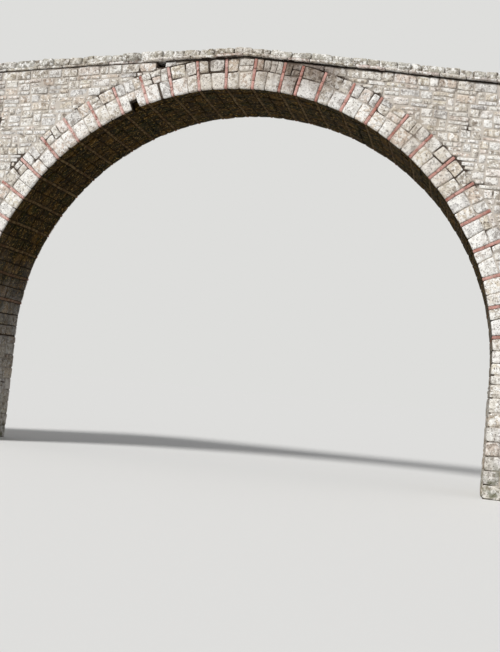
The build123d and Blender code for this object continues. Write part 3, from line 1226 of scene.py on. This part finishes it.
def slab_cells(rng, wall):
    """Cells of the string course, whose slabs stand out unevenly and are worn back on the left."""
    joints = spaced(rng, -HALF_LENGTH, HALF_LENGTH, *STRING_SLABS)
    face = STRING_FACE - COPING_BACK + rng.normal(0, SLAB_SPREAD, len(joints) - 1)
    if wall == "front":
        face[joints[1:] < WORN_STRING] -= WORN_DEPTH
    cells = course_cells(joints, skewed(rng, joints, SLAB_LEAN), 0.0, STRING_TOP + 0.008, 0.0, face)
    cells[:, :, 0, :, 1] += rng.uniform(0, 0.01, (len(cells), 1, 1))
    return cells


def coping_cells(rng, wall):
    """Cells of the coping, with uneven tops that are worn down in places of the front."""
    joints = spaced(rng, -HALF_LENGTH, HALF_LENGTH, *COPING_STONES)
    head = skewed(rng, joints, ROUGH_LEAN)
    face = COPING_FACE - COPING_BACK + rng.normal(0, COPING_SPREAD, len(joints) - 1)
    cells = course_cells(joints, head, STRING_TOP - 0.012, COPING_TOP, 0.0, face)
    cells[:, :, 1, :, 1] += rng.normal(0.002, 0.009, (len(cells), 1, 1))
    if wall == "front":
        cells[:, :, 1, :, 1] -= np.interp(cells[:, :, 1, :, 0], COPING_PLACES, COPING_WEAR)
    return cells


def bedding_cells(_rng, _wall):
    """Cells of the mortar under and between the coping stones, kept inside their ends and face."""
    joints = np.linspace(-HALF_LENGTH + 0.03, HALF_LENGTH - 0.03, COPING_BEDS + 1)
    face = COPING_FACE - COPING_BACK - 0.035
    return course_cells(joints, joints, STRING_TOP - 0.02, COPING_TOP - 0.07, -0.03, face)


class BRIDGE_OT_lay_parapets(bpy.types.Operator):
    """Lay the thin projecting slabs of the string course and the rough coping on them."""
    bl_idname = "bridge.lay_parapets"
    bl_label = "String and Coping"

    def execute(self, context):
        looks = context.scene.bridge_looks
        slabs = stone_finish("string_slab", looks, (
            srgb(196, 188, 172), srgb(224, 216, 204), srgb(206, 198, 190), srgb(220, 200, 190)), 0.5)
        rough_stone = stone_finish("coping_stone", looks, (
            srgb(178, 172, 157), srgb(206, 201, 189), srgb(188, 185, 175), srgb(220, 215, 206)), 0.6, 0.85)
        core = mortar_finish("coping_mortar", looks)
        for number, (wall, facing) in enumerate(FACES):
            rng = draws(looks, PARAPET_DRAWS + number)
            for name, lay, shell, dressing, material, node in (
                    ("string_slabs", slab_cells, SLAB, HEWN_SLAB, slabs, "string_course"),
                    ("coping_stones", coping_cells, WHOLE_BLOCK, ROUGH_COPING, rough_stone, "coping"),
                    ("coping_bed", bedding_cells, WHOLE_BLOCK, BEDDING, core, None)):
                stones = hewn_stones(looks, lay(rng, wall), facing(on_parapet), shell, rng, dressing)
                lay_piece(f"{name}_{wall}", [stones], material,
                          [f"{node}_{wall}_{side}" for side in SIDES if node])
        return {"FINISHED"}


class BRIDGE_OT_pave_road(bpy.types.Operator):
    """Set the small rounded road stones between the copings."""
    bl_idname = "bridge.pave_road"
    bl_label = "Road Stones"

    def execute(self, context):
        looks = context.scene.bridge_looks
        material = stone_finish("road_stone", looks, stone_colours(looks))
        rng = draws(looks, ROAD_DRAWS)
        rows = []
        lines = spaced(rng, -COPING_BACK, COPING_BACK, *ROAD_ROWS)
        for low, high in zip(lines[:-1], lines[1:]):
            foot = spaced(rng, -HALF_LENGTH, HALF_LENGTH, *ROAD_STONES)
            proud = rng.uniform(*ROAD_STAND, len(foot) - 1)
            rows.append(course_cells(foot, skewed(rng, foot, ROUGH_LEAN), low, high, ROAD_BACK, proud))
        cells = np.concatenate(rows)
        cells[..., 1] += ROW_WAVE * np.sin(3.1 * cells[..., 0]) * np.cos(pi * cells[..., 1] / 2 / COPING_BACK)
        stones = hewn_stones(looks, cells, on_road, PLAIN_FACE, rng, TRODDEN)
        lay_piece("road_stones", [stones], material)
        return {"FINISHED"}


def fan_grid():
    """Grid of a face over the springing line, from the intrados out to the walls' edges.

    Its columns are rays from the arch's centre, each as long as the end of the
    wall or its sloping top allows, and its rows share each ray out evenly.
    """
    corner = atan2(HALF_LENGTH, road_level(HALF_LENGTH) - SPRINGING)
    angles = np.unique(np.append(np.linspace(-pi / 2, pi / 2, FAN_RAYS), (-corner, corner)))
    to_end = HALF_LENGTH / np.maximum(np.abs(np.sin(angles)), 1e-9)
    to_top = (CROWN_LEVEL - SPRINGING) / (np.cos(angles) + ROAD_SLOPE * np.abs(np.sin(angles)))
    share = np.linspace(0, 1, FAN_ROWS)[:, None]
    radius = ARCH_RADIUS + share * (np.minimum(to_end, to_top) - ARCH_RADIUS)
    return radius * np.sin(angles), SPRINGING + radius * np.cos(angles)


def thinned(up):
    """How much mortar is washed out of the walls that stand on the ground, least high up."""
    return -SOUND_SHARE * np.clip((up - WORN_LEVEL) / (SPRINGING - WORN_LEVEL), 0, 1)


def washed(wall, along, up):
    """How much mortar is washed out over the springing line.

    It is less over the ring than in its upper tier, and most at two joints and
    three spots of the front.
    """
    angle, radius = polar(along, up)
    share = 0.17 * np.exp(-(((radius - MID_RADIUS - 0.14) / 0.2) ** 2))
    share -= SOUND_SHARE * np.clip((radius - OUTER_RADIUS) / 0.06, 0, 1)
    if wall == "front":
        for joint in WASHED_JOINTS:
            share += np.where(radius < MID_RADIUS, np.exp(-(((angle - joint) / 0.007) ** 2)), 0)
        for x, z, reach in WASHED_SPOTS:
            share += np.exp(-(np.hypot(along - x, up - z) / reach) ** 4)
    return share


def lost(along, up):
    """Places on the front face where a stone is gone."""
    angle, radius = polar(along, up)
    notch = np.abs(angle - BROKEN_ANGLE) < BROKEN_HALF_WIDTH / ARCH_RADIUS
    notch &= radius < ARCH_RADIUS + BROKEN_HEIGHT
    pocket = (along < -LOST_STONE[0]) & (along > -LOST_STONE[1])
    return notch | pocket & (up > road_level(along) - LOST_STONE_HEIGHT)


class BRIDGE_OT_point_walls(bpy.types.Operator):
    """Lay lumpy lime mortar over the walls, and give the masonry behind it and the road's bed a finish."""
    bl_idname = "bridge.point_walls"
    bl_label = "Mortar and Cores"

    def execute(self, context):
        looks = context.scene.bridge_looks
        mortar = mortar_finish("lime_mortar", looks)
        road = road_bed_finish()
        for name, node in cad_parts.items():
            for slot in node.material_slots:
                slot.material = road if name.startswith("deck") else mortar
        fan = fan_grid()
        along, up = np.meshgrid(np.linspace(ARCH_RADIUS, HALF_LENGTH, SIDE_LINES[0]),
                                np.linspace(0, SPRINGING + SKIN_LAP, SIDE_LINES[1]))
        for wall, facing in FACES:
            surface = facing(on_front)
            hollow = lost if wall == "front" else None
            sheets = [mortar_sheet(looks, surface, *fan, washed(wall, *fan), hollow)]
            for side in (-1, 1):
                sheets.append(mortar_sheet(looks, surface, (side * along)[:, ::side], up, thinned(up)))
            lay_piece(f"mortar_{wall}", sheets, mortar)
        across = np.linspace(-HALF_WIDTH, HALF_WIDTH, CROSS_LINES)
        walls = ((on_end, np.linspace(0, road_level(HALF_LENGTH), END_LINES)),
                 (turned(on_river_face), np.linspace(0, SPRINGING, RIVER_LINES)))
        for side in SIDES:
            sheets = [mortar_sheet(looks, surface if side == "right" else turned(surface),
                                   *np.meshgrid(across, height), thinned(height)[:, None])
                      for surface, height in walls]
            lay_piece(f"mortar_{side}", sheets, mortar)
        return {"FINISHED"}


# Stage
def set_floor():
    """Wide pale floor at the ground line."""
    reach = 900.0
    mesh = bpy.data.meshes.new("floor")
    corners = [(-reach, -reach, 0), (reach, -reach, 0), (reach, reach, 0), (-reach, reach, 0)]
    mesh.from_pydata(corners, [], [(0, 1, 2, 3)])
    material = bpy.data.materials.new("pale_floor")
    material.use_nodes = True
    inputs = material.node_tree.nodes["Principled BSDF"].inputs
    inputs["Base Color"].default_value = srgb(228, 227, 224)
    inputs["Roughness"].default_value = 0.95
    inputs["Specular IOR Level"].default_value = 0.0
    mesh.materials.append(material)
    plane = bpy.data.objects.new("floor", mesh)
    bpy.context.scene.collection.objects.link(plane)


def set_light(looks):
    """A soft key from the front, high on the left, and an even pale sky that shows paler."""
    lamp = bpy.data.lights.new("key", "SUN")
    lamp.energy = looks.key_strength
    lamp.angle = radians(14)
    key = bpy.data.objects.new("key", lamp)
    key.rotation_euler = Vector(KEY_DIRECTION).to_track_quat("-Z", "Y").to_euler()
    bpy.context.scene.collection.objects.link(key)
    world = bpy.data.worlds.new("studio")
    world.use_nodes = True
    bpy.context.scene.world = world
    tree = world.node_tree
    tree.nodes.clear()
    rays = add_node(tree, "ShaderNodeLightPath").outputs
    seen = rays["Is Camera Ray"]
    for kind in ("Is Glossy Ray", "Is Transmission Ray"):
        seen = add_node(tree, "ShaderNodeMath", {0: seen, 1: rays[kind]}, operation="MAXIMUM").outputs[0]
    lit, shown = (
        add_node(tree, "ShaderNodeBackground", {"Color": colour, "Strength": strength}).outputs[0]
        for colour, strength in ((srgb(246, 248, 252), looks.sky_strength), (srgb(222, 222, 220), 1.0)))
    mixed = add_node(tree, "ShaderNodeMixShader", {0: seen, 1: lit, 2: shown})
    add_node(tree, "ShaderNodeOutputWorld", {"Surface": mixed.outputs[0]})


def set_camera(context):
    """Camera of the photograph: yaw about Z, then pitch up, then roll about its axis."""
    data = bpy.data.cameras.new("camera")
    data.sensor_width = 36.0
    data.lens = FOCAL_PIXELS * data.sensor_width / PHOTO_HEIGHT
    data.clip_end = 3000
    camera = bpy.data.objects.new("camera", data)
    camera.matrix_world = (
        Matrix.Translation(CAMERA_PLACE) @ Matrix.Rotation(-CAMERA_YAW, 4, "Z")
        @ Matrix.Rotation(pi / 2 + CAMERA_PITCH, 4, "X") @ Matrix.Rotation(CAMERA_ROLL, 4, "Z"))
    context.scene.collection.objects.link(camera)
    context.scene.camera = camera


class BRIDGE_OT_set_stage(bpy.types.Operator):
    """Set the floor, the soft light and the camera of the photograph."""
    bl_idname = "bridge.set_stage"
    bl_label = "Stage"

    def execute(self, context):
        set_floor()
        set_light(context.scene.bridge_looks)
        set_camera(context)
        context.scene.view_settings.view_transform = "Standard"
        return {"FINISHED"}


OPERATORS = (
    BRIDGE_OT_point_walls,
    BRIDGE_OT_lay_vault,
    BRIDGE_OT_lay_bricks,
    BRIDGE_OT_lay_spandrels,
    BRIDGE_OT_lay_abutments,
    BRIDGE_OT_lay_parapets,
    BRIDGE_OT_pave_road,
    BRIDGE_OT_set_stage,
)


class VIEW3D_PT_bridge(bpy.types.Panel):
    """Panel with the bridge's values and the steps that build it."""
    bl_idname = "VIEW3D_PT_bridge"
    bl_label = "Stone Arch Bridge"
    bl_space_type = "VIEW_3D"
    bl_region_type = "UI"
    bl_category = "Bridge"

    def draw(self, context):
        column = self.layout.column()
        for name in BridgeLooks.__annotations__:
            column.prop(context.scene.bridge_looks, name)
        for operator in OPERATORS:
            column.operator(operator.bl_idname)


CLASSES = (BridgeLooks, *OPERATORS, VIEW3D_PT_bridge)


def register():
    for cls in CLASSES:
        bpy.utils.register_class(cls)
    bpy.types.Scene.bridge_looks = bpy.props.PointerProperty(type=BridgeLooks)


def unregister():
    del bpy.types.Scene.bridge_looks
    for cls in reversed(CLASSES):
        bpy.utils.unregister_class(cls)


def main():
    """Builds the whole bridge."""
    register()
    for operator in OPERATORS:
        getattr(bpy.ops.bridge, operator.bl_idname.removeprefix("bridge."))()


if __name__ == "__main__":
    main()
